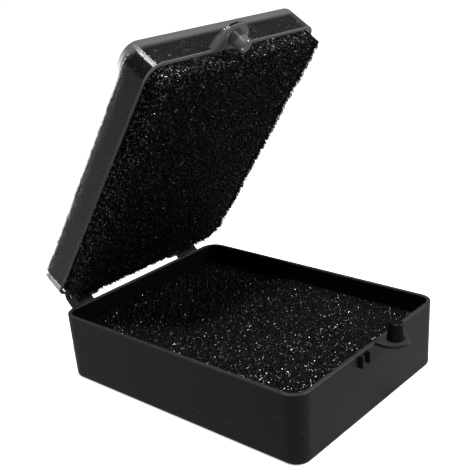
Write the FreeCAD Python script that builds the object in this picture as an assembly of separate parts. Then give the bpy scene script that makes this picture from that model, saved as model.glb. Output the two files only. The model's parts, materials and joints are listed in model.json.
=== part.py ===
import FreeCAD, Part
import math, os

# Hinged box for keeping paints wet: an opaque tray, a clear lid, a foam pad
# in each, and two hinge pins.  Millimetres, +Z up, origin at the bottom
# centre of the tray.  The catch is on the -Y side, the hinge on the +Y side.
# Rest position: lid open by REST_OPEN degrees.

# ---------------------------------------------------------------- dimensions
LENGTH = 150.0          # Y, catch wall to hinge wall, at the rim
WIDTH = 116.0           # X, at the rim
TRAY_H = 35.4           # tray height
LID_H = 17.5            # lid height
PARTING = 0.15          # gap between the rims when closed
WALL = 2.0
FLOOR = 2.0
TRAY_DRAFT = 0.9        # inset of the tray's bottom outline
LID_DRAFT = 0.4         # inset of the lid's top outline
CORNER_R = 8.5          # vertical corners at the rim
TRAY_EDGE_R = 2.2       # bottom outer edge
LID_EDGE_R = 3.2        # lid's top outer edge

AXIS_Y = LENGTH / 2 + 8.0       # hinge axis
AXIS_Z = TRAY_H + 2.0
REST_OPEN = 55.5                # opening angle at rest

BARREL_R = 4.0
PIN_R = 1.5
PIN_GRIP = 0.02                 # radial clearance of the pin in the tray's knuckle
PIN_RUN = 0.06                  # radial clearance of the pin in the lid's ear
KNUCKLE_X = (35.6, 45.0)        # tray's knuckle, |x| from, to
EAR_X = (28.6, 35.3)            # lid's ear
PIN_X = (29.2, 44.4)            # pin

PEG_X = 9.0                     # tray's peg at +9, lid's at -9
PEG_Y = -LENGTH / 2 - 5.8
PEG_R0 = 4.3                    # at the ledge
PEG_R1 = 3.4                    # at the tip
PEG_H = 8.7
LEDGE_T = 1.5
LEDGE_REACH = 12.0              # how far the ledges stand out
TAB_R = 8.0                     # tray ledge: round-ended tab
RIB_H = 2.0                     # catch ribs, standing out from the wall
RIB_W = 1.2
RIB_OFF = 2.9                   # rib centre from the mating peg's centre
RIB_Z = (0.8, 6.8)              # distance from the rim

TRAY_FOAM_TOP = 26.9
LID_FOAM_PROUD = 7.0            # below the lid's rim when closed
FOAM_GAP = 0.7                  # foam clear of the walls
FOAM_R = 5.6


def V(x, y, z):
    return FreeCAD.Vector(x, y, z)


def rounded_rect(hx, hy, r, z):
    """Closed wire of a rounded rectangle, centred on the z axis."""
    k = math.sqrt(0.5)
    pts = []
    edges = []
    corners = ((1, 1), (-1, 1), (-1, -1), (1, -1))
    for sx, sy in corners:
        cx, cy = sx * (hx - r), sy * (hy - r)
        a = V(cx + sx * r, cy, z)
        b = V(cx, cy + sy * r, z)
        m = V(cx + sx * r * k, cy + sy * r * k, z)
        if sx * sy < 0:
            a, b = b, a
        pts.append((a, m, b))
    for i in range(4):
        a, m, b = pts[i]
        edges.append(Part.Arc(a, m, b).toShape())
        edges.append(Part.LineSegment(b, pts[(i + 1) % 4][0]).toShape())
    return Part.Wire(edges)


def tapered_block(hx0, hy0, r0, z0, hx1, hy1, r1, z1):
    return Part.makeLoft([rounded_rect(hx0, hy0, r0, z0), rounded_rect(hx1, hy1, r1, z1)], True, True)


def edges_at(shape, z, tol=0.02):
    out = []
    for e in shape.Edges:
        bb = e.BoundBox
        if abs(bb.ZMin - z) < tol and abs(bb.ZMax - z) < tol:
            out.append(e)
    return out


def try_fillet(shape, radius, edges):
    """Fillet, one radius for all the edges; smaller if the kernel refuses."""
    for f in (1.0, 0.8, 0.6, 0.4):
        try:
            s = shape.makeFillet(radius * f, edges)
            if s.isValid() and s.Volume > 0:
                return s.Solids[0] if len(s.Solids) == 1 else s
        except Exception:
            pass
    print("fillet left out, radius", radius)
    return shape


def yz_prism(points, x0, x1):
    """Prism along X from x0 to x1 with a polygon profile in the YZ plane."""
    w = Part.makePolygon([V(x0, y, z) for y, z in points] + [V(x0, points[0][0], points[0][1])])
    return Part.Face(w).extrude(V(x1 - x0, 0, 0))


def x_cylinder(y, z, r, x0, x1):
    return Part.makeCylinder(r, x1 - x0, V(x0, y, z), V(1, 0, 0))


def tangent_profile(yw_low, z_low, yw_top, z_top, r):
    """YZ polygon from a wall to the tangent points of the hinge barrel."""
    def tangent(py, pz, side):
        dy, dz = py - AXIS_Y, pz - AXIS_Z
        d = math.hypot(dy, dz)
        a = math.atan2(dz, dy) + side * math.acos(r / d)
        return (AXIS_Y + r * math.cos(a), AXIS_Z + r * math.sin(a))
    t_low = tangent(yw_low, z_low, 1)
    t_top = tangent(yw_top, z_top, -1)
    return [(yw_low, z_low), t_low, (AXIS_Y, AXIS_Z), t_top, (yw_top, z_top)]


hx, hy = WIDTH / 2, LENGTH / 2


# ---------------------------------------------------------------------- tray
def shell_inset(z, height, draft):
    return draft * (1.0 - z / height)


def tray_block(inset, z0, z1, r):
    a = shell_inset(z0, TRAY_H, TRAY_DRAFT)
    b = shell_inset(z1, TRAY_H, TRAY_DRAFT)
    return tapered_block(hx - inset - a, hy - inset - a, r - a, z0,
                         hx - inset - b, hy - inset - b, r - b, z1)


outer = tray_block(0, 0, TRAY_H, CORNER_R)
outer = try_fillet(outer, TRAY_EDGE_R, edges_at(outer, 0))
cavity = tray_block(WALL, FLOOR, TRAY_H + 2, CORNER_R - WALL)
cavity = try_fillet(cavity, 1.6, edges_at(cavity, FLOOR))
tray = outer.cut(cavity)
tray = try_fillet(tray, 0.35, edges_at(tray, TRAY_H))

# catch ledge: a round-ended tab, its top flush with the rim
tab_y = -hy - (LEDGE_REACH - TAB_R)
tab = Part.makeCylinder(TAB_R, LEDGE_T, V(PEG_X, tab_y, TRAY_H - LEDGE_T))
tab = tab.fuse(Part.makeBox(2 * TAB_R, -hy + 1.0 - tab_y, LEDGE_T, V(PEG_X - TAB_R, tab_y, TRAY_H - LEDGE_T)))
tab = tab.removeSplitter()
tab = tab.cut(Part.makeBox(4 * TAB_R, 4 * TAB_R, 3 * LEDGE_T,
                           V(PEG_X - 2 * TAB_R, -hy + 1.0, TRAY_H - 2 * LEDGE_T)))
peg = Part.makeCone(PEG_R0, PEG_R1, PEG_H, V(PEG_X, PEG_Y, TRAY_H))
peg = try_fillet(peg, 1.3, edges_at(peg, TRAY_H + PEG_H))
root = Part.makeCylinder(PEG_R0, 0.6, V(PEG_X, PEG_Y, TRAY_H - 0.6))
tray = tray.fuse([tab, peg, root])

# catch ribs, beside where the lid's peg comes down
for s in (-1, 1):
    xc = -PEG_X + s * RIB_OFF
    rib = Part.makeBox(RIB_W, RIB_H + 1.2, RIB_Z[1] - RIB_Z[0],
                       V(xc - RIB_W / 2, -hy - RIB_H, TRAY_H - RIB_Z[1]))
    front = [e for e in rib.Edges if abs(e.BoundBox.YMin + hy + RIB_H) < 0.01 and abs(e.BoundBox.YMax + hy + RIB_H) < 0.01]
    rib = try_fillet(rib, 0.45, front)
    tray = tray.fuse(rib)

# hinge knuckles behind the back wall
for s in (-1, 1):
    x0, x1 = sorted((s * KNUCKLE_X[0], s * KNUCKLE_X[1]))
    web = yz_prism(tangent_profile(hy - 1.3, TRAY_H - 13.0, hy - 0.9, TRAY_H - 0.9, BARREL_R), x0, x1)
    barrel = x_cylinder(AXIS_Y, AXIS_Z, BARREL_R, x0, x1)
    tray = tray.fuse([web, barrel])
for s in (-1, 1):
    x0, x1 = sorted((s * (KNUCKLE_X[0] - 1), s * (KNUCKLE_X[1] + 1)))
    tray = tray.cut(x_cylinder(AXIS_Y, AXIS_Z, PIN_R + PIN_GRIP, x0, x1))
tray = tray.removeSplitter()

# ----------------------------------------------------------------- tray foam
def tray_foam_block():
    a = shell_inset(FLOOR, TRAY_H, TRAY_DRAFT)
    b = shell_inset(TRAY_FOAM_TOP, TRAY_H, TRAY_DRAFT)
    g = WALL + FOAM_GAP
    return tapered_block(hx - g - a, hy - g - a, FOAM_R - a, FLOOR,
                         hx - g - b, hy - g - b, FOAM_R - b, TRAY_FOAM_TOP)


tray_foam = tray_foam_block()
tray_foam = try_fillet(tray_foam, 2.2, edges_at(tray_foam, FLOOR))
tray_foam = try_fillet(tray_foam, 1.2, edges_at(tray_foam, TRAY_FOAM_TOP))

# ----------------------------------------------------- lid (closed position)
Z0 = TRAY_H + PARTING                   # lid's rim plane when closed
Z1 = Z0 + LID_H


def lid_block(inset, h0, h1, r):
    a = LID_DRAFT * h0 / LID_H
    b = LID_DRAFT * h1 / LID_H
    return tapered_block(hx - inset - a, hy - inset - a, r - a, Z0 + h0,
                         hx - inset - b, hy - inset - b, r - b, Z0 + h1)


lid_outer = lid_block(0, 0, LID_H, CORNER_R)
lid_outer = try_fillet(lid_outer, LID_EDGE_R, edges_at(lid_outer, Z1))
lid_cavity = lid_block(WALL, -2.0, LID_H - FLOOR, CORNER_R - WALL)
lid_cavity = try_fillet(lid_cavity, 2.0, edges_at(lid_cavity, Z1 - FLOOR))
lid = lid_outer.cut(lid_cavity)
lid = try_fillet(lid, 0.35, edges_at(lid, Z0))

# catch ledge: a half disc, its underside flush with the rim
disc = Part.makeCylinder(LEDGE_REACH, LEDGE_T, V(-PEG_X, -hy, Z0))
disc = disc.cut(Part.makeBox(4 * LEDGE_REACH, 2 * LEDGE_REACH, 3 * LEDGE_T,
                             V(-PEG_X - 2 * LEDGE_REACH, -hy + 1.0, Z0 - LEDGE_T)))
peg = Part.makeCone(PEG_R0, PEG_R1, PEG_H, V(-PEG_X, PEG_Y, Z0), V(0, 0, -1))
peg = try_fillet(peg, 1.3, edges_at(peg, Z0 - PEG_H))
root = Part.makeCylinder(PEG_R0, 0.6, V(-PEG_X, PEG_Y, Z0))
lid = lid.fuse([disc, peg, root])
for s in (-1, 1):
    xc = PEG_X + s * RIB_OFF
    rib = Part.makeBox(RIB_W, RIB_H + 1.2, RIB_Z[1] - RIB_Z[0],
                       V(xc - RIB_W / 2, -hy - RIB_H, Z0 + RIB_Z[0]))
    front = [e for e in rib.Edges if abs(e.BoundBox.YMin + hy + RIB_H) < 0.01 and abs(e.BoundBox.YMax + hy + RIB_H) < 0.01]
    rib = try_fillet(rib, 0.45, front)
    lid = lid.fuse(rib)

# hinge ears
for s in (-1, 1):
    x0, x1 = sorted((s * EAR_X[0], s * EAR_X[1]))
    web = yz_prism(tangent_profile(hy - 0.9, Z0 + 0.4, hy - 1.2, Z0 + 9.5, BARREL_R), x0, x1)
    barrel = x_cylinder(AXIS_Y, AXIS_Z, BARREL_R, x0, x1)
    lid = lid.fuse([web, barrel])
for s in (-1, 1):
    x0, x1 = sorted((s * (EAR_X[0] - 1), s * (EAR_X[1] + 1)))
    lid = lid.cut(x_cylinder(AXIS_Y, AXIS_Z, PIN_R + PIN_RUN, x0, x1))
lid = lid.removeSplitter()

# ------------------------------------------------------------------ lid foam
def lid_foam_block():
    top = LID_H - FLOOR
    g = WALL + FOAM_GAP
    return tapered_block(hx - g, hy - g, FOAM_R, Z0 - LID_FOAM_PROUD,
                         hx - g - LID_DRAFT, hy - g - LID_DRAFT, FOAM_R - LID_DRAFT, Z0 + top)


lid_foam = lid_foam_block()
lid_foam = try_fillet(lid_foam, 1.5, edges_at(lid_foam, Z0 - LID_FOAM_PROUD))
lid_foam = try_fillet(lid_foam, 2.4, edges_at(lid_foam, Z0 + LID_H - FLOOR))

# ---------------------------------------------------------------- hinge pins
pins = {}
for s, name in ((-1, "hinge_pin_left"), (1, "hinge_pin_right")):
    x0, x1 = sorted((s * PIN_X[0], s * PIN_X[1]))
    p = x_cylinder(AXIS_Y, AXIS_Z, PIN_R, x0, x1)
    ends = [e for e in p.Edges if abs(e.BoundBox.XMax - e.BoundBox.XMin) < 0.01]
    p2 = p.makeChamfer(0.3, ends)
    pins[name] = p2 if p2.isValid() else p

# -------------------------------------------------- open the lid to its rest
for s in (lid, lid_foam):
    s.rotate(V(0, AXIS_Y, AXIS_Z), V(1, 0, 0), -REST_OPEN)

os.makedirs("parts", exist_ok=True)
nodes = {"tray": tray, "tray_foam": tray_foam, "lid": lid, "lid_foam": lid_foam}
nodes.update(pins)
for name, shape in nodes.items():
    s = shape
    if len(s.Solids) == 1:
        s = s.Solids[0]
    print("%-16s solids %d valid %s volume %.0f box %s" % (
        name, len(shape.Solids), s.isValid(), s.Volume,
        [round(v, 2) for v in (s.BoundBox.XMin, s.BoundBox.YMin, s.BoundBox.ZMin,
                               s.BoundBox.XMax, s.BoundBox.YMax, s.BoundBox.ZMax)]))
    s.exportStep("parts/" + name + ".step")
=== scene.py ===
import json
import math

import bmesh
import bpy
import numpy as np
from mathutils import Matrix, Vector


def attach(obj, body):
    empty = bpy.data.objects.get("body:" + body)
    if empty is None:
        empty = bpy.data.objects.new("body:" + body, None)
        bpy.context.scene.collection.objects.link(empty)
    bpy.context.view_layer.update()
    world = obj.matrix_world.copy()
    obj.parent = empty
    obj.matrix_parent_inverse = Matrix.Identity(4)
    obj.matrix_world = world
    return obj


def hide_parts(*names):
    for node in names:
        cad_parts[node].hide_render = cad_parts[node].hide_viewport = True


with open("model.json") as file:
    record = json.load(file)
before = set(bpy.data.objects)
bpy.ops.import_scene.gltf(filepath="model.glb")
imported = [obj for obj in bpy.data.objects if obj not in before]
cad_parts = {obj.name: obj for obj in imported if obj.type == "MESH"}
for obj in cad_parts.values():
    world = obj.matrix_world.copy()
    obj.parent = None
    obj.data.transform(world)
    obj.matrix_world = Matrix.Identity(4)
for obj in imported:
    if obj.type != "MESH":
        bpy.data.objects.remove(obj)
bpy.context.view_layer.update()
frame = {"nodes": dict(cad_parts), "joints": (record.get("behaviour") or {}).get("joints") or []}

MM = 0.001

# ------------------------------------------------------------------ frame facts
joint = frame["joints"][0]
AXIS = np.array(joint["pos_m"], float)            # a point on the hinge axis
OPEN = math.radians(55.5)                         # how far the lid is open at rest
RIM = 0.0354                                      # tray rim height
LID_RIM = 0.03555                                 # lid rim plane when closed
HX, HY = 0.058, 0.075                             # half width and length at the rim


def opened(p):
    """Points of the closed lid, moved to where the open lid holds them at rest."""
    p = np.asarray(p, float).copy()
    y, z = p[:, 1] - AXIS[1], p[:, 2] - AXIS[2]
    c, s = math.cos(OPEN), math.sin(OPEN)
    p[:, 1] = AXIS[1] + y * c + z * s
    p[:, 2] = AXIS[2] - y * s + z * c
    return p


# ------------------------------------------------------------------ node helpers
def new_material(name):
    m = bpy.data.materials.new(name)
    m.use_nodes = True
    nt = m.node_tree
    nt.nodes.clear()
    return m, nt


def N(nt, kind, x=0, y=0, **kw):
    n = nt.nodes.new(kind)
    n.location = (x, y)
    for k, v in kw.items():
        setattr(n, k, v)
    return n


def link(nt, a, b):
    nt.links.new(a, b)


def ramp(nt, src, stops, interpolation="LINEAR"):
    r = N(nt, "ShaderNodeValToRGB")
    r.color_ramp.interpolation = interpolation
    e = r.color_ramp.elements
    while len(e) > 1:
        e.remove(e[-1])
    e[0].position = stops[0][0]
    e[0].color = (*[stops[0][1]] * 3, 1) if not hasattr(stops[0][1], "__len__") else (*stops[0][1], 1)
    for pos, val in stops[1:]:
        k = e.new(pos)
        k.color = (*[val] * 3, 1) if not hasattr(val, "__len__") else (*val, 1)
    link(nt, src, r.inputs["Fac"])
    return r.outputs["Color"]


def mathn(nt, op, a, b=None, clamp=False):
    n = N(nt, "ShaderNodeMath", operation=op)
    n.use_clamp = clamp
    for i, v in enumerate((a, b)):
        if v is None:
            continue
        if hasattr(v, "is_linked") or hasattr(v, "links"):
            link(nt, v, n.inputs[i])
        else:
            n.inputs[i].default_value = v
    return n.outputs[0]


def noise(nt, vec, scale, detail=4.0, rough=0.55, distortion=0.0):
    n = N(nt, "ShaderNodeTexNoise")
    n.inputs["Scale"].default_value = scale
    n.inputs["Detail"].default_value = detail
    n.inputs["Roughness"].default_value = rough
    n.inputs["Distortion"].default_value = distortion
    link(nt, vec, n.inputs["Vector"])
    return n.outputs["Fac"]


def mapping(nt, vec, scale=(1, 1, 1), rot=(0, 0, 0), loc=(0, 0, 0)):
    m = N(nt, "ShaderNodeMapping")
    m.inputs["Scale"].default_value = scale
    m.inputs["Rotation"].default_value = rot
    m.inputs["Location"].default_value = loc
    link(nt, vec, m.inputs["Vector"])
    return m.outputs["Vector"]


def mix_color(nt, fac, a, b, blend="MIX"):
    m = N(nt, "ShaderNodeMix", data_type="RGBA", blend_type=blend)
    if hasattr(fac, "links"):
        link(nt, fac, m.inputs[0])
    else:
        m.inputs[0].default_value = fac
    for v, i in ((a, 6), (b, 7)):
        if hasattr(v, "links"):
            link(nt, v, m.inputs[i])
        else:
            m.inputs[i].default_value = (*v, 1) if len(v) == 3 else v
    return m.outputs[2]


def lid_local(nt, vec):
    """Object coordinates turned back to the closed lid's frame."""
    r = N(nt, "ShaderNodeVectorRotate", rotation_type="X_AXIS")
    r.inputs["Center"].default_value = tuple(AXIS)
    r.inputs["Angle"].default_value = OPEN
    link(nt, vec, r.inputs["Vector"])
    return r.outputs["Vector"]


# ------------------------------------------------------------------ materials
def tray_material():
    m, nt = new_material("black_moulded_plastic")
    out = N(nt, "ShaderNodeOutputMaterial")
    b = N(nt, "ShaderNodeBsdfPrincipled")
    link(nt, b.outputs[0], out.inputs["Surface"])
    tc = N(nt, "ShaderNodeTexCoord")
    co = tc.outputs["Object"]
    # colour: near black with faint cloudy flow marks and fine dust
    flow = noise(nt, mapping(nt, co, (14, 14, 38)), 1.0, 5, 0.6, 0.6)
    fine = noise(nt, co, 900, 3, 0.6)
    base = mix_color(nt, flow, (0.0032, 0.0032, 0.0034), (0.0058, 0.0058, 0.0061))
    dust = ramp(nt, fine, [(0.0, 0), (0.66, 0), (0.80, 1)])
    base = mix_color(nt, mathn(nt, "MULTIPLY", dust, 0.14), base, (0.040, 0.040, 0.040))
    # scuffs: short thin marks in a few patches
    patch = ramp(nt, noise(nt, mapping(nt, co, (1, 1, 1), loc=(0.31, 0.12, 0.0)), 34, 2, 0.5), [(0.0, 0), (0.60, 0), (0.70, 1)])
    knock = N(nt, "ShaderNodeVectorMath", operation="DISTANCE")
    link(nt, co, knock.inputs[0])
    knock.inputs[1].default_value = (-0.0565, -0.0725, 0.0255)
    knocked = ramp(nt, mathn(nt, "DIVIDE", knock.outputs["Value"], 0.02), [(0.0, 1), (0.15, 1), (0.38, 0)])
    patch = mathn(nt, "MAXIMUM", patch, knocked)
    s1 = noise(nt, mapping(nt, co, (90, 90, 620), rot=(0.5, 0.3, 0.9)), 1.6, 2, 0.6)
    s2 = noise(nt, mapping(nt, co, (620, 620, 110), rot=(0.2, 0.9, 0.2)), 1.3, 2, 0.6)
    streak = mathn(nt, "MAXIMUM", ramp(nt, s1, [(0.0, 0), (0.66, 0), (0.69, 1)]), ramp(nt, s2, [(0.0, 0), (0.69, 0), (0.72, 1)]))
    scuff = mathn(nt, "MULTIPLY", patch, streak)
    base = mix_color(nt, mathn(nt, "MULTIPLY", scuff, 0.7), base, (0.060, 0.060, 0.060))
    # painted shade: the inner walls' colour is painted darker and their gloss lowered, and the peg's colour is painted
    # darker too; the rim's edge is painted a little lighter, a painted highlight
    sep = N(nt, "ShaderNodeSeparateXYZ")
    link(nt, co, sep.inputs[0])
    draft = mathn(nt, "MULTIPLY", mathn(nt, "SUBTRACT", RIM, sep.outputs["Z"]), 0.0009 / RIM)
    over = []
    for axis_name, half in (("X", HX), ("Y", HY)):
        d = mathn(nt, "ADD", mathn(nt, "ABSOLUTE", sep.outputs[axis_name]), draft)
        d = mathn(nt, "MAXIMUM", mathn(nt, "SUBTRACT", d, half - 0.0085), 0.0)
        over.append(mathn(nt, "MULTIPLY", d, d))
    from_corner = mathn(nt, "SQRT", mathn(nt, "ADD", over[0], over[1]))
    below = mathn(nt, "LESS_THAN", sep.outputs["Z"], RIM - 0.0004)
    inside = mathn(nt, "MULTIPLY", mathn(nt, "LESS_THAN", from_corner, 0.0085 - 0.0013), below)
    on_peg = mathn(nt, "MULTIPLY", mathn(nt, "LESS_THAN", sep.outputs["Y"], -HY - 0.0003),
                   mathn(nt, "GREATER_THAN", sep.outputs["Z"], RIM + 0.0006))
    inside = mathn(nt, "MAXIMUM", inside, mathn(nt, "MULTIPLY", on_peg, 0.80))
    # painted shade on the inner walls, and the peg painted darker
    base = mix_color(nt, mathn(nt, "MULTIPLY", inside, 0.75), base, (0.0008, 0.0008, 0.0008))
    # painted highlight: a lighter band along the rim's edge, broken up by noise
    painted_rim_highlight = ramp(nt, mathn(nt, "DIVIDE", mathn(nt, "SUBTRACT", sep.outputs["Z"], RIM - 0.0009), 0.0013), [(0.0, 0), (0.55, 1), (0.80, 1), (1.0, 0)])
    painted_rim_highlight = mathn(nt, "MULTIPLY", painted_rim_highlight, mathn(nt, "MULTIPLY_ADD", noise(nt, co, 220, 3, 0.6), 0.9), clamp=True)
    base = mix_color(nt, painted_rim_highlight, base, (0.022, 0.022, 0.023))
    link(nt, base, b.inputs["Base Color"])
    # the painted shade inside the walls also lowers their gloss there
    gloss = mathn(nt, "MULTIPLY_ADD", inside, -0.13)
    gloss.node.inputs[2].default_value = 0.19
    link(nt, gloss, b.inputs["Specular IOR Level"])
    r = mathn(nt, "MULTIPLY_ADD", noise(nt, co, 60, 4, 0.6), 0.16)
    r.node.inputs[2].default_value = 0.30
    r = mathn(nt, "ADD", r, mathn(nt, "MULTIPLY", scuff, 0.25), clamp=True)
    link(nt, r, b.inputs["Roughness"])
    b.inputs["IOR"].default_value = 1.49
    # moulded micro texture with a slight orange peel
    peel = N(nt, "ShaderNodeBump")
    peel.inputs["Strength"].default_value = 0.10
    peel.inputs["Distance"].default_value = 0.0006
    link(nt, noise(nt, co, 85, 3, 0.5), peel.inputs["Height"])
    grain = N(nt, "ShaderNodeBump")
    grain.inputs["Strength"].default_value = 0.30
    grain.inputs["Distance"].default_value = 0.00006
    link(nt, noise(nt, co, 2600, 3, 0.6), grain.inputs["Height"])
    link(nt, peel.outputs[0], grain.inputs["Normal"])
    link(nt, grain.outputs[0], b.inputs["Normal"])
    return m


def clear_material():
    """Clear moulded styrene: refracting walls with a thin grey haze, fine moulding waves,
    and a hazier satin grey rim and front edge band."""
    m, nt = new_material("clear_moulded_plastic")
    out = N(nt, "ShaderNodeOutputMaterial")
    tc = N(nt, "ShaderNodeTexCoord")
    co = lid_local(nt, tc.outputs["Object"])
    sep = N(nt, "ShaderNodeSeparateXYZ")
    link(nt, co, sep.inputs[0])
    height = mathn(nt, "MULTIPLY", mathn(nt, "SUBTRACT", sep.outputs["Z"], LID_RIM), 1000.0)   # mm above the rim
    # the rim's own face, a millimetre band either side of the rim plane's edge rounds
    rim = ramp(nt, mathn(nt, "DIVIDE", mathn(nt, "ADD", height, 1.0), 4.0), [(0.0, 0), (0.22, 0), (0.24, 1), (0.30, 1), (0.36, 0)])
    top = ramp(nt, mathn(nt, "DIVIDE", height, 17.5), [(0.0, 0), (0.60, 0.0), (0.74, 1), (1.0, 1)])
    front = ramp(nt, mathn(nt, "DIVIDE", mathn(nt, "MULTIPLY", sep.outputs["Y"], -1000.0), 80.0), [(0.0, 0), (0.86, 0), (0.90, 1)])
    end = ramp(nt, mathn(nt, "DIVIDE", mathn(nt, "MULTIPLY", sep.outputs["X"], 1000.0), 60.0), [(0.0, 0), (0.84, 0), (0.93, 1)])
    band = mathn(nt, "MULTIPLY", front, mathn(nt, "MAXIMUM", top, mathn(nt, "MULTIPLY", end, 0.75)))
    smear = noise(nt, mapping(nt, co, (22, 22, 60)), 1.0, 5, 0.62, 0.8)
    fine = noise(nt, co, 700, 3, 0.6)
    peg = ramp(nt, mathn(nt, "MULTIPLY", height, -1.0), [(0.0, 0), (0.3, 0), (0.9, 1)])
    haze = mathn(nt, "MULTIPLY_ADD", smear, 0.034)
    haze.node.inputs[2].default_value = 0.008
    haze = mathn(nt, "ADD", haze, mathn(nt, "MULTIPLY", rim, 0.80))
    haze = mathn(nt, "ADD", haze, mathn(nt, "MULTIPLY", peg, 0.78))
    haze = mathn(nt, "ADD", haze, mathn(nt, "MULTIPLY", band, 0.72))
    haze = mathn(nt, "ADD", haze, mathn(nt, "MULTIPLY", top, 0.022), clamp=True)
    bump = N(nt, "ShaderNodeBump")
    bump.inputs["Strength"].default_value = 0.03
    bump.inputs["Distance"].default_value = 0.0004
    link(nt, noise(nt, co, 60, 3, 0.5), bump.inputs["Height"])
    glass = N(nt, "ShaderNodeBsdfGlass")
    glass.inputs["Color"].default_value = (0.86, 0.87, 0.88, 1)
    glass.inputs["IOR"].default_value = 1.34
    rr = mathn(nt, "MULTIPLY_ADD", fine, 0.02)
    rr.node.inputs[2].default_value = 0.045
    link(nt, rr, glass.inputs["Roughness"])
    link(nt, bump.outputs[0], glass.inputs["Normal"])
    see = N(nt, "ShaderNodeBsdfTransparent")
    see.inputs["Color"].default_value = (0.93, 0.94, 0.95, 1)
    lp = N(nt, "ShaderNodeLightPath")
    soft = mathn(nt, "MAXIMUM", lp.outputs["Is Shadow Ray"], lp.outputs["Is Diffuse Ray"])
    clear = N(nt, "ShaderNodeMixShader")
    link(nt, soft, clear.inputs[0])
    link(nt, glass.outputs[0], clear.inputs[1])
    link(nt, see.outputs[0], clear.inputs[2])
    body = N(nt, "ShaderNodeBsdfDiffuse")
    tint = mix_color(nt, smear, (0.020, 0.021, 0.022), (0.060, 0.062, 0.064))
    tint = mix_color(nt, top, tint, (0.16, 0.163, 0.166))
    tint = mix_color(nt, band, tint, (0.080, 0.082, 0.084))
    # painted highlight: the peg's rounded tip is painted a lighter grey than its body
    painted_tip_highlight = ramp(nt, mathn(nt, "MULTIPLY", height, -0.1), [(0.0, 0), (0.36, 0), (0.50, 1)])
    tint = mix_color(nt, peg, tint, mix_color(nt, painted_tip_highlight, (0.018, 0.018, 0.019), (0.085, 0.087, 0.090)))
    link(nt, mix_color(nt, rim, tint, (0.13, 0.133, 0.136)), body.inputs["Color"])
    shine = N(nt, "ShaderNodeBsdfGlossy")
    shine.inputs["Color"].default_value = (0.9, 0.9, 0.9, 1)
    shine.inputs["Roughness"].default_value = 0.10
    skin = N(nt, "ShaderNodeMixShader")
    link(nt, mathn(nt, "MULTIPLY", peg, 0.055), skin.inputs[0])
    link(nt, body.outputs[0], skin.inputs[1])
    link(nt, shine.outputs[0], skin.inputs[2])
    m1 = N(nt, "ShaderNodeMixShader")
    link(nt, haze, m1.inputs[0])
    link(nt, clear.outputs[0], m1.inputs[1])
    link(nt, skin.outputs[0], m1.inputs[2])
    # polished thin where the long edge turns into the panel, so it hardly shows there
    long_edge = ramp(nt, mathn(nt, "DIVIDE", mathn(nt, "MULTIPLY", sep.outputs["X"], -1000.0), 60.0), [(0.0, 0), (0.885, 0), (0.925, 1)])
    far = ramp(nt, mathn(nt, "DIVIDE", height, 17.5), [(0.0, 0), (0.50, 0), (0.80, 1)])
    back_y = ramp(nt, mathn(nt, "DIVIDE", mathn(nt, "ADD", sep.outputs["Y"], 0.075), 0.15), [(0.0, 0), (0.05, 0), (0.12, 1)])
    beside = ramp(nt, mathn(nt, "DIVIDE", mathn(nt, "MULTIPLY", sep.outputs["X"], -1000.0), 60.0), [(0.0, 0), (0.62, 0), (0.78, 1)])
    panel = ramp(nt, mathn(nt, "DIVIDE", height, 17.5), [(0.0, 0), (0.84, 0), (0.87, 1)])
    thin = mathn(nt, "MAXIMUM", mathn(nt, "MULTIPLY", long_edge, far), mathn(nt, "MULTIPLY", beside, panel))
    thin = mathn(nt, "MULTIPLY", thin, mathn(nt, "MULTIPLY", back_y, 0.93))
    pale = N(nt, "ShaderNodeBsdfTransparent")
    pale.inputs["Color"].default_value = (0.97, 0.97, 0.975, 1)
    m2 = N(nt, "ShaderNodeMixShader")
    link(nt, thin, m2.inputs[0])
    link(nt, m1.outputs[0], m2.inputs[1])
    link(nt, pale.outputs[0], m2.inputs[2])
    link(nt, m2.outputs[0], out.inputs["Surface"])
    return m


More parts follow.
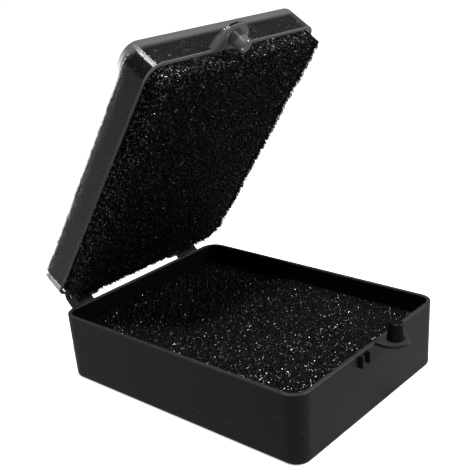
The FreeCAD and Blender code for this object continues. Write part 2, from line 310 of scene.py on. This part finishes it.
def foam_material(name, dark, lit, rough, spec, glints):
    """Black ester foam: soft black, a faint grey where cell walls catch the light,
    and small glossy facets that glint, their colour also painted lighter, a painted glint;
    glints is the share of the wall that is glossy, raised by the point attribute "glint" near the pad's cut edges."""
    m, nt = new_material(name)
    out = N(nt, "ShaderNodeOutputMaterial")
    b = N(nt, "ShaderNodeBsdfPrincipled")
    link(nt, b.outputs[0], out.inputs["Surface"])
    b.inputs["IOR"].default_value = 1.8
    tc = N(nt, "ShaderNodeTexCoord")
    co = tc.outputs["Object"]
    big = noise(nt, co, 30, 4, 0.6)
    cell = noise(nt, co, 620, 3, 0.65)
    c = mix_color(nt, ramp(nt, cell, [(0.30, 0.0), (0.70, 1.0)]), dark, lit)
    c = mix_color(nt, mathn(nt, "MULTIPLY", ramp(nt, big, [(0.35, 0), (0.75, 1)]), 0.35), c, tuple(v * 0.4 for v in dark))
    r = mathn(nt, "MULTIPLY_ADD", cell, -0.30)
    r.node.inputs[2].default_value = rough
    if glints:
        at = N(nt, "ShaderNodeAttribute", attribute_name="glint")
        spots = noise(nt, mapping(nt, co, (1, 1, 1), loc=(0.013, 0.027, 0.041)), 1150, 1, 0.5)
        level = mathn(nt, "SUBTRACT", spots, mathn(nt, "MULTIPLY_ADD", at.outputs["Fac"], -0.10))
        level.node.inputs[1].links[0].from_node.inputs[2].default_value = glints
        glint_spots = mathn(nt, "MULTIPLY", level, 50.0, clamp=True)
        # painted glint: the glint spots are painted lighter as well as made glossier
        c = mix_color(nt, glint_spots, c, (0.060, 0.060, 0.062))
        r = mathn(nt, "MULTIPLY_ADD", glint_spots, -0.36)
        r.node.inputs[2].default_value = rough
        link(nt, mathn(nt, "MULTIPLY_ADD", glint_spots, 1.0 - spec), b.inputs["Specular IOR Level"])
        b.inputs["Specular IOR Level"].links[0].from_node.inputs[2].default_value = spec
    else:
        b.inputs["Specular IOR Level"].default_value = spec
    link(nt, c, b.inputs["Base Color"])
    link(nt, r, b.inputs["Roughness"])
    bump = N(nt, "ShaderNodeBump")
    bump.inputs["Strength"].default_value = 0.9
    bump.inputs["Distance"].default_value = 0.00022
    link(nt, noise(nt, co, 1500, 2, 0.6), bump.inputs["Height"])
    link(nt, bump.outputs[0], b.inputs["Normal"])
    return m


def pin_material():
    m, nt = new_material("pin_steel")
    out = N(nt, "ShaderNodeOutputMaterial")
    b = N(nt, "ShaderNodeBsdfPrincipled")
    link(nt, b.outputs[0], out.inputs["Surface"])
    tc = N(nt, "ShaderNodeTexCoord")
    st = noise(nt, mapping(nt, tc.outputs["Object"], (60, 2200, 2200)), 1.0, 3, 0.6)
    link(nt, mix_color(nt, st, (0.30, 0.30, 0.31), (0.46, 0.46, 0.48)), b.inputs["Base Color"])
    b.inputs["Metallic"].default_value = 1.0
    r = mathn(nt, "MULTIPLY_ADD", st, 0.22)
    r.node.inputs[2].default_value = 0.22
    link(nt, r, b.inputs["Roughness"])
    bump = N(nt, "ShaderNodeBump")
    bump.inputs["Strength"].default_value = 0.25
    bump.inputs["Distance"].default_value = 0.00003
    link(nt, st, bump.inputs["Height"])
    link(nt, bump.outputs[0], b.inputs["Normal"])
    return m


MAT_TRAY = tray_material()
MAT_CLEAR = clear_material()
MAT_STRUT = foam_material("foam_cell_walls", (0.0005, 0.0005, 0.0005), (0.0015, 0.0015, 0.0016), 0.55, 0.028, 0.690)
# painted shade: the pits' colour is darker than the cell walls'
MAT_PIT_SHADE = foam_material("foam_cell_pits_shaded", (0.0002, 0.0002, 0.0002), (0.0009, 0.0009, 0.0009), 0.95, 0.015, 0)
# painted light: the films' colour is lighter than the cell walls', on top of their gloss
MAT_FILM = foam_material("foam_cell_films", (0.0020, 0.0020, 0.0021), (0.0070, 0.0070, 0.0073), 0.50, 0.16, 0.64)
MAT_PIN = pin_material()


def dress(node, mat):
    o = frame["nodes"][node]
    o.data.materials.clear()
    o.data.materials.append(mat)
    for p in o.data.polygons:
        p.material_index = 0


dress("tray", MAT_TRAY)
dress("lid", MAT_CLEAR)
dress("hinge_pin_left", MAT_PIN)
dress("hinge_pin_right", MAT_PIN)


# ------------------------------------------------------------------ foam pads
def rounded_box_grid(hx, hy, z0, z1, r_v, r_e, pitch, r_top=None):
    """Closed quad grid on a box, its points pressed onto a rounded box.
    r_v rounds the vertical corners, r_e the top and bottom edges.  Returns verts, quads."""
    nx, ny, nz = (max(2, int(round(v / pitch))) for v in (2 * hx, 2 * hy, z1 - z0))
    index, verts, quads = {}, [], []

    def vid(i, j, k):
        key = (i, j, k)
        if key not in index:
            index[key] = len(verts)
            verts.append((-hx + 2 * hx * i / nx, -hy + 2 * hy * j / ny, z0 + (z1 - z0) * k / nz))
        return index[key]

    for i in range(nx):
        for j in range(ny):
            quads.append((vid(i, j, 0), vid(i, j + 1, 0), vid(i + 1, j + 1, 0), vid(i + 1, j, 0)))
            quads.append((vid(i, j, nz), vid(i + 1, j, nz), vid(i + 1, j + 1, nz), vid(i, j + 1, nz)))
    for i in range(nx):
        for k in range(nz):
            quads.append((vid(i, 0, k), vid(i + 1, 0, k), vid(i + 1, 0, k + 1), vid(i, 0, k + 1)))
            quads.append((vid(i, ny, k), vid(i, ny, k + 1), vid(i + 1, ny, k + 1), vid(i + 1, ny, k)))
    for j in range(ny):
        for k in range(nz):
            quads.append((vid(0, j, k), vid(0, j, k + 1), vid(0, j + 1, k + 1), vid(0, j + 1, k)))
            quads.append((vid(nx, j, k), vid(nx, j + 1, k), vid(nx, j + 1, k + 1), vid(nx, j, k + 1)))
    v = np.array(verts)
    # round the vertical corners in plan
    q = np.abs(v[:, :2]) - (np.array([hx, hy]) - r_v)
    q = np.maximum(q, 0)
    both = (q[:, 0] > 0) & (q[:, 1] > 0)
    m = np.maximum(q[:, 0], q[:, 1])
    ln = np.hypot(q[:, 0], q[:, 1])
    scale = np.where(both, m / np.maximum(ln, 1e-12), 1.0)
    core = np.sign(v[:, :2]) * np.minimum(np.abs(v[:, :2]), np.array([hx, hy]) - r_v)
    v[:, :2] = core + np.sign(v[:, :2]) * q * scale[:, None]
    # round the top and bottom edges: distance to the outline against distance to the face
    inner = np.array([hx, hy]) - r_v
    d = np.maximum(np.abs(v[:, :2]) - inner, 0)
    out_ = np.hypot(d[:, 0], d[:, 1])
    flat = (np.abs(v[:, :2]) <= inner).all(1)
    edge_in = np.where(flat, np.maximum(np.abs(v[:, 0]) - hx, np.abs(v[:, 1]) - hy), out_ - r_v)   # <= 0
    axis_dir = np.where((np.abs(v[:, 0]) - hx > np.abs(v[:, 1]) - hy)[:, None], np.array([1.0, 0.0]), np.array([0.0, 1.0])) * np.sign(v[:, :2])
    direction = np.where((out_ > 1e-9)[:, None], np.sign(v[:, :2]) * d / np.maximum(out_, 1e-12)[:, None], axis_dir)
    for zf, s, r_z in ((z0, -1, r_e), (z1, 1, r_top or r_e)):
        a = r_z + edge_in                      # > 0 close to the outline
        b = r_z - np.abs(v[:, 2] - zf)         # > 0 close to the face
        near = (a > 0) & (b > 0)
        mm_ = np.maximum(a, b)
        l2 = np.hypot(a, b)
        k = np.where(near, mm_ / np.maximum(l2, 1e-12), 1.0)
        v[:, :2] += np.where(near, a * (k - 1), 0)[:, None] * direction
        v[:, 2] += np.where(near, s * b * (k - 1), 0)
    return v, quads


def dual_cells(v, quads, rng, jitter):
    """Irregular foam cells on a closed quad grid: random diagonals, jittered points, then the dual mesh."""
    me = bpy.data.meshes.new("seed")
    tris = []
    flips = rng.random(len(quads))
    for q, f in zip(quads, flips):
        a, b, c, d = q
        if f < 0.5:
            tris += [(a, b, c), (a, c, d)]
        else:
            tris += [(a, b, d), (b, c, d)]
    me.from_pydata(v.tolist(), [], tris)
    me.update()
    n = np.zeros(len(v) * 3, np.float32)
    me.vertex_normals.foreach_get("vector", n)
    n = n.reshape(-1, 3).astype(float)
    j = rng.normal(0, jitter, v.shape)
    j -= (j * n).sum(1)[:, None] * n
    v2 = v + j
    me.vertices.foreach_set("co", v2.astype(np.float32).ravel())
    me.update()
    o = bpy.data.objects.new("seed", me)
    bpy.context.collection.objects.link(o)
    g = bpy.data.node_groups.new("dual", "GeometryNodeTree")
    g.interface.new_socket("Geometry", in_out="INPUT", socket_type="NodeSocketGeometry")
    g.interface.new_socket("Geometry", in_out="OUTPUT", socket_type="NodeSocketGeometry")
    gi, go = g.nodes.new("NodeGroupInput"), g.nodes.new("NodeGroupOutput")
    du = g.nodes.new("GeometryNodeDualMesh")
    g.links.new(gi.outputs[0], du.inputs[0])
    g.links.new(du.outputs[0], go.inputs[0])
    mod = o.modifiers.new("dual", "NODES")
    mod.node_group = g
    dg = bpy.context.evaluated_depsgraph_get()
    res = bpy.data.meshes.new_from_object(o.evaluated_get(dg), depsgraph=dg)
    bpy.data.objects.remove(o)
    bpy.data.node_groups.remove(g)
    return res


def pits(me, rng, keep, wall, depth):
    """Opens each chosen cell: a ribbon of cell wall round it, then a pit that widens under the surface.
    keep(face_centre, normal) -> (2 full detail, 1 plain pit, 0 left flat; share of cells closed by a film)."""
    bm = bmesh.new()
    bm.from_mesh(me)
    bm.normal_update()
    film, open_, plain = [], [], []
    for f in bm.faces:
        k, share = keep(f.calc_center_median(), f.normal)
        f.material_index = 0
        if k == 2:
            (film if rng.random() < share else open_).append(f)
        elif k == 1:
            plain.append(f)
    bmesh.ops.inset_individual(bm, faces=open_, thickness=wall, depth=0.0, use_even_offset=True)
    bmesh.ops.inset_individual(bm, faces=open_, thickness=-wall * 0.0 + wall * 0.35, depth=-depth, use_even_offset=True)
    for f in open_:
        f.material_index = 1
    if film:
        bmesh.ops.inset_individual(bm, faces=film, thickness=wall * 0.9, depth=-depth * 0.10, use_even_offset=True)
        for f in film:
            f.material_index = 2
    if plain:
        bmesh.ops.inset_individual(bm, faces=plain, thickness=wall * 1.1, depth=-depth * 0.8, use_even_offset=True)
        for f in plain:
            f.material_index = 1
    # films and pit floors get a random tilt, so that some catch the light
    bm.normal_update()
    for f in film:
        nrm = f.normal.copy()
        c = f.calc_center_median()
        t = Vector(rng.normal(0, 0.45, 3))
        for vtx in f.verts:
            vtx.co += nrm * max(-0.0005, min(0.0003, (vtx.co - c).dot(t)))
    for f in open_:
        nrm = f.normal.copy()
        dz = rng.normal(0, depth * 0.22)
        for vtx in f.verts:
            vtx.co += nrm * (dz + rng.normal(0, depth * 0.12))
    bm.to_mesh(me)
    bm.free()


def strands(points, normals, rng, length, radius, lean):
    """Closed three-sided tapering strands that stand out of the surface; (verts, quads, tris)."""
    n = len(points)
    a = rng.normal(0, 1, (n, 3))
    d = normals + a * lean
    d /= np.linalg.norm(d, axis=1)[:, None]
    L = length * rng.uniform(0.45, 1.0, n)[:, None]
    bend = np.cross(d, rng.normal(0, 1, (n, 3)))
    bend /= np.linalg.norm(bend, axis=1)[:, None]
    p0 = points - normals * radius * 1.5
    p1 = points + d * L * 0.55 + bend * L * 0.10
    p2 = points + (d + bend * rng.uniform(0.1, 0.9, n)[:, None]) * L
    u = np.cross(d, np.array([0.31, 0.57, 0.76]))
    u /= np.linalg.norm(u, axis=1)[:, None]
    w = np.cross(d, u)
    rings = []
    for p, r in ((p0, 1.0), (p1, 0.85), (p2, 0.45)):
        for k in range(3):
            t = 2 * math.pi * k / 3
            rings.append(p + (u * math.cos(t) + w * math.sin(t)) * radius * r)
    verts = np.stack(rings, 1).reshape(-1, 3)
    base = (np.arange(n) * 9)[:, None]
    quads = []
    for s in (0, 3):
        for k in range(3):
            k2 = (k + 1) % 3
            quads.append(np.hstack([base + s + k, base + s + k2, base + s + 3 + k2, base + s + 3 + k]))
    quads = np.concatenate(quads)
    tris = np.concatenate([np.hstack([base + 2, base + 1, base + 0]), np.hstack([base + 6, base + 7, base + 8])])
    return verts, quads, tris


def loops(points, normals, rng, size, radius, sides=7):
    """Closed small rings: cut cells that stand out of the surface."""
    n = len(points)
    t1 = np.cross(normals, rng.normal(0, 1, (n, 3)))
    t1 /= np.linalg.norm(t1, axis=1)[:, None]
    lean = normals + rng.normal(0, 0.35, (n, 3))
    lean /= np.linalg.norm(lean, axis=1)[:, None]
    R = size * rng.uniform(0.6, 1.0, n)[:, None]
    centre = points + lean * R * 0.55
    axis = np.cross(t1, lean)
    axis /= np.linalg.norm(axis, axis=1)[:, None]
    verts = []
    for i in range(sides):
        a = 2 * math.pi * i / sides
        d = t1 * math.cos(a) * 0.85 + lean * math.sin(a)
        c = centre + d * R * (1 + rng.normal(0, 0.08, n)[:, None])
        for k in range(3):
            b = 2 * math.pi * k / 3
            verts.append(c + (d * math.cos(b) + axis * math.sin(b)) * radius)
    verts = np.stack(verts, 1).reshape(-1, 3)
    base = (np.arange(n) * sides * 3)[:, None]
    quads = []
    for i in range(sides):
        i2 = (i + 1) % sides
        for k in range(3):
            k2 = (k + 1) % 3
            quads.append(np.hstack([base + i * 3 + k, base + i2 * 3 + k, base + i2 * 3 + k2, base + i * 3 + k2]))
    return verts, np.concatenate(quads), np.zeros((0, 3), int)


def join_loose(me, sets, material):
    """Adds loose closed strands to a mesh, in numpy."""
    nv = len(me.vertices)
    co = np.zeros(nv * 3, np.float32)
    me.vertices.foreach_get("co", co)
    nl, npoly = len(me.loops), len(me.polygons)
    li = np.zeros(nl, np.int32); me.loops.foreach_get("vertex_index", li)
    ls = np.zeros(npoly, np.int32); me.polygons.foreach_get("loop_start", ls)
    mi = np.zeros(npoly, np.int32); me.polygons.foreach_get("material_index", mi)
    cos, lis, lss, mis = [co.reshape(-1, 3)], [li], [ls], [mi]
    for verts, quads, tris in sets:
        for faces in (quads, tris):
            if len(faces) == 0:
                continue
            lss.append((np.arange(len(faces)) * faces.shape[1] + nl).astype(np.int32))
            lis.append((faces + nv).astype(np.int32).ravel())
            nl += faces.size
            mis.append(np.full(len(faces), material, np.int32))
        cos.append(verts.astype(np.float32))
        nv += len(verts)
    co, li, ls, mi = (np.concatenate(x) for x in (cos, lis, lss, mis))
    out = bpy.data.meshes.new(me.name)
    out.vertices.add(len(co)); out.vertices.foreach_set("co", co.ravel())
    out.loops.add(len(li)); out.loops.foreach_set("vertex_index", li)
    out.polygons.add(len(ls)); out.polygons.foreach_set("loop_start", ls)
    out.polygons.foreach_set("material_index", mi)
    out.update(calc_edges=True)
    out.validate()
    return out


def wobble(p, amp, scale, seed):
    """Smooth three-axis waves for the pad's uneven cut faces."""
    r = np.random.default_rng(seed)
    out = np.zeros(len(p))
    for i in range(7):
        k = r.normal(0, 1, 3)
        k = k / np.linalg.norm(k) * scale * r.uniform(0.6, 1.9)
        out += np.sin(p @ k + r.uniform(0, 6.28)) * r.uniform(0.4, 1.0)
    return out / 7 * 2.2 * amp


def foam_pad(hx, hy, z0, z1, r_v, r_e, pitch, seed, keep, wall, depth, uneven=0.0004, face_dip=None, r_top=None):
    rng = np.random.default_rng(seed)
    v, quads = rounded_box_grid(hx, hy, z0, z1, r_v, r_e, pitch, r_top)
    me = dual_cells(v, quads, rng, pitch * 0.20)
    nv = len(me.vertices)
    co = np.zeros(nv * 3, np.float32)
    me.vertices.foreach_get("co", co)
    co = co.reshape(-1, 3).astype(float)
    nn = np.zeros(nv * 3, np.float32)
    me.vertex_normals.foreach_get("vector", nn)
    nn = nn.reshape(-1, 3).astype(float)
    rough = rng.normal(0, pitch * 0.13, nv)
    co += nn * (rough + wobble(co, uneven, 110.0, seed + 1))[:, None]
    if face_dip is not None:
        co = face_dip(co)
    me.vertices.foreach_set("co", co.astype(np.float32).ravel())
    me.update()
    pits(me, rng, keep, wall, depth)
    return me, co, nn, rng


def set_glint(me, value):
    at = me.attributes.get("glint") or me.attributes.new("glint", "FLOAT", "POINT")
    at.data.foreach_set("value", np.asarray(value, np.float32))


def get_co(me):
    c = np.zeros(len(me.vertices) * 3, np.float32)
    me.vertices.foreach_get("co", c)
    return c.reshape(-1, 3).astype(float)


def keep_inside(p, hx, hy, r):
    """Moves points that stand outside a rounded rectangle in plan back onto it."""
    q = np.abs(p[:, :2]) - (np.array([hx, hy]) - r)
    qq = np.maximum(q, 0)
    ln = np.hypot(qq[:, 0], qq[:, 1])
    k = np.where(ln > r, r / np.maximum(ln, 1e-12), 1.0)
    core = np.minimum(np.abs(p[:, :2]), np.array([hx, hy]) - r)
    p[:, :2] = np.sign(p[:, :2]) * (core + qq * k[:, None])
    return p


# the lid's pad: fills the lid and stands proud of its rim, seen from all sides through the clear plastic
PITCH = 1.75 * MM
L_HX, L_HY = 0.0555, 0.0724
L_Z0, L_Z1 = LID_RIM - 0.0072, LID_RIM + 0.0151


def lid_keep(c, n):
    """Full detail except under the lid's panel."""
    if n.z > 0.75:
        return 1, 0.0
    return 2, 0.015


def lid_shape(p):
    """The pad is cut by hand: its hidden long edges are drawn in unevenly under the lid's top."""
    p = p.copy()
    up = np.clip((p[:, 2] - (LID_RIM + 0.004)) / 0.009, 0, 1) ** 1.5
    near = np.clip((p[:, 1] - 0.005) / 0.06, 0, 1)
    w = (0.0004 + 0.0006 * np.sin(p[:, 1] * 46.0 + 0.6) + 0.0005 * np.sin(p[:, 1] * 131.0 + 2.0)) * (0.4 + 1.4 * near)
    side = np.clip((np.abs(p[:, 0]) - (L_HX - 0.006)) / 0.006, 0, 1)
    p[:, 0] -= np.sign(p[:, 0]) * up * side * np.maximum(w, 0)
    # the proud part is a little slimmer than the lid's cavity
    free = np.clip((LID_RIM - 0.0003 - p[:, 2]) / 0.003, 0, 1)
    p[:, 0] -= p[:, 0] / L_HX * free * 0.00035
    p[:, 1] -= p[:, 1] / L_HY * free * 0.00030
    # and stays clear of the tray's walls when the box is shut
    low = p[:, 2] < LID_RIM - 0.0003
    p[low] = keep_inside(p[low], 0.0556, 0.0726, 0.0061)
    level = L_Z0 - 0.00025
    p[:, 2] = np.maximum(np.where(p[:, 2] < level, level + (p[:, 2] - level) * 0.4, p[:, 2]), L_Z0 - 0.0006)
    # its hinge corners are cut rounder
    q = np.maximum(np.stack([np.abs(p[:, 0]) - (L_HX - 0.013), p[:, 1] - (L_HY - 0.013)], 1), 0)
    ln = np.hypot(q[:, 0], q[:, 1])
    k = 1 - 0.62 * (1 - q.max(1) / np.maximum(ln, 1e-9)) * free
    k = np.where((q > 0).all(1), k, 1.0)
    p[:, 0] -= np.sign(p[:, 0]) * q[:, 0] * (1 - k)
    p[:, 1] -= q[:, 1] * (1 - k)
    return p


lid_me, lid_co, lid_n, rng = foam_pad(L_HX, L_HY, L_Z0, L_Z1, 0.0058, 0.0017, PITCH, 11,
                                      lid_keep, 0.00017, 0.00115, face_dip=lid_shape, r_top=0.0026)
# fuzz on the proud part, along its edges, and where the cut back edges stand in the lid's corner
X, Y, Z = lid_co.T
out_x, out_y = L_HX - np.abs(X), L_HY - np.abs(Y)
edge = (out_x < 0.0035) | (out_y < 0.0035)
proud = Z < LID_RIM - 0.0004
chance = rng.random(len(lid_co))
pick_e = proud & edge & (chance < 0.96)
pick_f = (Z < L_Z0 + 0.0012) & ~edge & (chance < 0.22)
pick_l = proud & edge & (rng.random(len(lid_co)) < 0.55)
back = (Z > L_Z1 - 0.0045) & edge & (lid_n[:, 2] < 0.78)
pick_b = back & (rng.random(len(lid_co)) < 0.95)
pick_bl = back & (rng.random(len(lid_co)) < 0.75)
inside = (Z > LID_RIM) & (Z < L_Z1 - 0.0035) & (rng.random(len(lid_co)) < 0.20)
deep = [strands(lid_co[pick_b], lid_n[pick_b], rng, 0.0011, 0.00012, 0.70),
        loops(lid_co[pick_bl], lid_n[pick_bl], rng, 0.00075, 0.00010),
        strands(lid_co[inside], lid_n[inside], rng, 0.0006, 0.00010, 0.60)]
for verts, _, _ in deep:
    verts[:, 2] = np.minimum(verts[:, 2], LID_RIM + 0.01535)
    keep_inside(verts, 0.0555, 0.0725, 0.0062)
fuzz = [strands(lid_co[pick_e], lid_n[pick_e], rng, 0.0026, 0.00014, 0.60),
        strands(lid_co[pick_f], lid_n[pick_f], rng, 0.0010, 0.00009, 0.45),
        loops(lid_co[pick_l], lid_n[pick_l], rng, 0.0012, 0.00012)]
# the right long side is frayed the most
frayed = proud & (X > L_HX - 0.0022)
for length in (0.0019, 0.0016):
    fuzz.append(strands(lid_co[frayed], lid_n[frayed], rng, length, 0.00014, 0.70))
some = frayed & (rng.random(len(lid_co)) < 0.6)
fuzz.append(loops(lid_co[some], lid_n[some], rng, 0.0011, 0.00012))
for verts, _, _ in fuzz:
    verts[:, 2] = np.maximum(verts[:, 2], L_Z0 - np.where(verts[:, 0] > 0.0530, 0.00155, 0.00068))
    keep_inside(verts, 0.0556, 0.0726, 0.0061)
sets = fuzz + deep
lid_me = join_loose(lid_me, sets, 0)
co = get_co(lid_me)
co = keep_inside(co, 0.0556, 0.0726, 0.0061)      # pressed flat where it meets the lid's walls
co[:, 2] = np.minimum(co[:, 2], LID_RIM + 0.01540)
inset = np.minimum(L_HX - np.abs(co[:, 0]), L_HY - np.abs(co[:, 1]))
within = np.clip((co[:, 2] - LID_RIM) / 0.001, 0, 1)
leftward = np.clip(-co[:, 0] / L_HX, 0, 1) ** 3
cut_edge = np.clip((co[:, 2] - (L_Z1 - 0.0050)) / 0.002, 0, 1)
# painted light: this sets where the lighter, glossier glint spots go, more near the pad's edges, on its left side and
# on its cut back edge, fewer elsewhere inside the lid
set_glint(lid_me, np.exp(-np.maximum(inset, 0) / 0.0055) * (0.86 + 0.24 * leftward) * (1 - within) - (0.40 - 0.80 * cut_edge) * within)
lid_me.vertices.foreach_set("co", opened(co).astype(np.float32).ravel())
lid_me.name = "lid_foam_pad"
for mat in (MAT_STRUT, MAT_PIT_SHADE, MAT_FILM):
    lid_me.materials.append(mat)
lid_me.update()
lid_pad = bpy.data.objects.new("lid_foam_pad", lid_me)
bpy.context.collection.objects.link(lid_pad)
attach(lid_pad, "lid")
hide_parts("lid_foam")

# the tray's pad: only its top is seen
T_HX, T_HY = 0.0549, 0.0719
T_Z0, T_Z1 = 0.0022, 0.0267


def tray_keep(c, n):
    if n.z > 0.4 and c.z > T_Z1 - 0.003:
        return 2, 0.03
    return (1 if c.z > T_Z1 - 0.004 else 0), 0.0


def tray_shape(p):
    """Follows the tray's draft towards the floor, and dips a little where it was cut."""
    p = p.copy()
    t = 1.0 - p[:, 2] / RIM
    p[:, 0] *= 1 - 0.0009 * t / T_HX
    p[:, 1] *= 1 - 0.0009 * t / T_HY
    p[:, 2] = np.minimum(p[:, 2], T_Z1 + 0.0008 - 0.0009 * np.clip((p[:, 0] - 0.0515) / 0.0012, 0, 1))
    return p


tray_me, tray_co, tray_n, rng = foam_pad(T_HX, T_HY, T_Z0, T_Z1, 0.0056, 0.0017, PITCH, 23,
                                         tray_keep, 0.00017, 0.00115, uneven=0.00025, face_dip=tray_shape)
top = tray_co[:, 2] > T_Z1 - 0.0016
pick = top & (rng.random(len(tray_co)) < 0.20)
sets = [strands(tray_co[pick], tray_n[pick], rng, 0.0009, 0.00009, 0.50)]
for verts, _, _ in sets:
    verts[:, 2] = np.minimum(verts[:, 2], T_Z1 + 0.0009 - 0.0009 * np.clip((verts[:, 0] - 0.0515) / 0.0012, 0, 1))
tray_me = join_loose(tray_me, sets, 0)
co = get_co(tray_me)
# painted light: more of the lighter glint spots towards the front left corner, and towards the back where the open lid
# shades the pad
set_glint(tray_me, 0.14 + 0.26 * np.clip(-(co[:, 0] / T_HX + co[:, 1] / T_HY) / 1.6, -0.2, 1) + 0.30 * np.clip(co[:, 1] / T_HY, 0, 1))
tray_me.name = "tray_foam_pad"
for mat in (MAT_STRUT, MAT_PIT_SHADE, MAT_FILM):
    tray_me.materials.append(mat)
tray_pad = bpy.data.objects.new("tray_foam_pad", tray_me)
bpy.context.collection.objects.link(tray_pad)
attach(tray_pad, "base")
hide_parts("tray_foam")


# ------------------------------------------------------------------ floor, light, camera
def seen_straight(nt, lp):
    """1 for what is seen directly or through the clear lid, 0 for what is seen mirrored or lights a surface."""
    direct = mathn(nt, "LESS_THAN", lp.outputs["Glossy Depth"], 0.5)
    return mathn(nt, "MAXIMUM", lp.outputs["Is Camera Ray"], mathn(nt, "MULTIPLY", lp.outputs["Is Transmission Ray"], direct))


def floor():
    me = bpy.data.meshes.new("studio_floor")
    s = 6.0
    me.from_pydata([(-s, -s, 0), (s, -s, 0), (s, s, 0), (-s, s, 0)], [], [(0, 1, 2, 3)])
    o = bpy.data.objects.new("studio_floor", me)
    bpy.context.collection.objects.link(o)
    m, nt = new_material("pale_floor")
    out = N(nt, "ShaderNodeOutputMaterial")
    b = N(nt, "ShaderNodeBsdfPrincipled")
    link(nt, b.outputs[0], out.inputs["Surface"])
    tc = N(nt, "ShaderNodeTexCoord")
    f = noise(nt, tc.outputs["Object"], 3.0, 2, 0.5)
    lp = N(nt, "ShaderNodeLightPath")
    shown = mix_color(nt, f, (0.93, 0.93, 0.93), (0.96, 0.96, 0.96))
    seen = seen_straight(nt, lp)
    mirrored = mathn(nt, "MULTIPLY", lp.outputs["Is Glossy Ray"], mathn(nt, "SUBTRACT", 1.0, seen))
    grey = mix_color(nt, mirrored, (0.30, 0.30, 0.30), (0.12, 0.12, 0.12))
    link(nt, mix_color(nt, seen, grey, shown), b.inputs["Base Color"])
    b.inputs["Emission Color"].default_value = (1, 1, 1, 1)
    glow = mathn(nt, "ADD", mathn(nt, "MULTIPLY", seen, 0.66), mathn(nt, "MULTIPLY", mirrored, 0.34))
    link(nt, glow, b.inputs["Emission Strength"])
    b.inputs["Roughness"].default_value = 0.9
    b.inputs["Specular IOR Level"].default_value = 0.1
    me.materials.append(m)


floor()


def area(name, loc, target, size, power, size_y=None):
    d = bpy.data.lights.new(name, "AREA")
    d.shape = "RECTANGLE"
    d.size = size
    d.size_y = size_y or size
    d.energy = power
    o = bpy.data.objects.new(name, d)
    bpy.context.collection.objects.link(o)
    o.location = loc
    o.rotation_mode = "QUATERNION"
    o.rotation_quaternion = (Vector(target) - Vector(loc)).to_track_quat("-Z", "Y")
    return o


area("key", (0.80, -1.10, 0.80), (0, 0, 0.05), 0.45, 25.0)
area("top", (-0.14, -0.10, 1.5), (0, 0, 0), 0.50, 13.5)
area("spark", (-0.35, -0.25, 1.25), (0, 0, 0.08), 0.12, 13.0)

world = bpy.data.worlds.new("studio")
bpy.context.scene.world = world
world.use_nodes = True
wn = world.node_tree
bg = next(n for n in wn.nodes if n.type == "BACKGROUND")
bg.inputs["Color"].default_value = (1.0, 1.0, 1.0, 1)
sky = N(wn, "ShaderNodeLightPath")
level = mathn(wn, "MULTIPLY_ADD", seen_straight(wn, sky), 0.80)
level.node.inputs[2].default_value = 0.24
mirrored = mathn(wn, "MULTIPLY", sky.outputs["Is Glossy Ray"], mathn(wn, "SUBTRACT", 1.0, seen_straight(wn, sky)))
level = mathn(wn, "SUBTRACT", level, mathn(wn, "MULTIPLY", mirrored, 0.12))
link(wn, level, bg.inputs["Strength"])

cam_data = bpy.data.cameras.new("camera")
cam = bpy.data.objects.new("camera", cam_data)
bpy.context.collection.objects.link(cam)
az, el, roll = math.radians(-48.3625), math.radians(20.5644), math.radians(-4.0995)
dist, ox, oy = 0.461157, -0.0074688, 0.0666934
back = Vector((math.sin(az) * math.cos(el), -math.cos(az) * math.cos(el), math.sin(el)))
right = (-back).cross(Vector((0, 0, 1))).normalized()
up = right.cross(-back)
r2 = right * math.cos(roll) + up * math.sin(roll)
u2 = up * math.cos(roll) - right * math.sin(roll)
pos = back * dist + r2 * ox + u2 * oy + Vector((0, 0, 0.0014))
cam.matrix_world = Matrix((
    (r2.x, u2.x, back.x, pos.x),
    (r2.y, u2.y, back.y, pos.y),
    (r2.z, u2.z, back.z, pos.z),
    (0, 0, 0, 1)))
cam_data.sensor_width = 36.0
cam_data.lens = 892.935 * 36.0 / 472.0
cam_data.clip_start = 0.01
cam_data.clip_end = 50.0
scene = bpy.context.scene
scene.camera = cam
scene.view_settings.view_transform = "Standard"
scene.view_settings.look = "None"
scene.view_settings.exposure = 0.0
scene.view_settings.gamma = 1.0
scene.cycles.transparent_max_bounces = 24
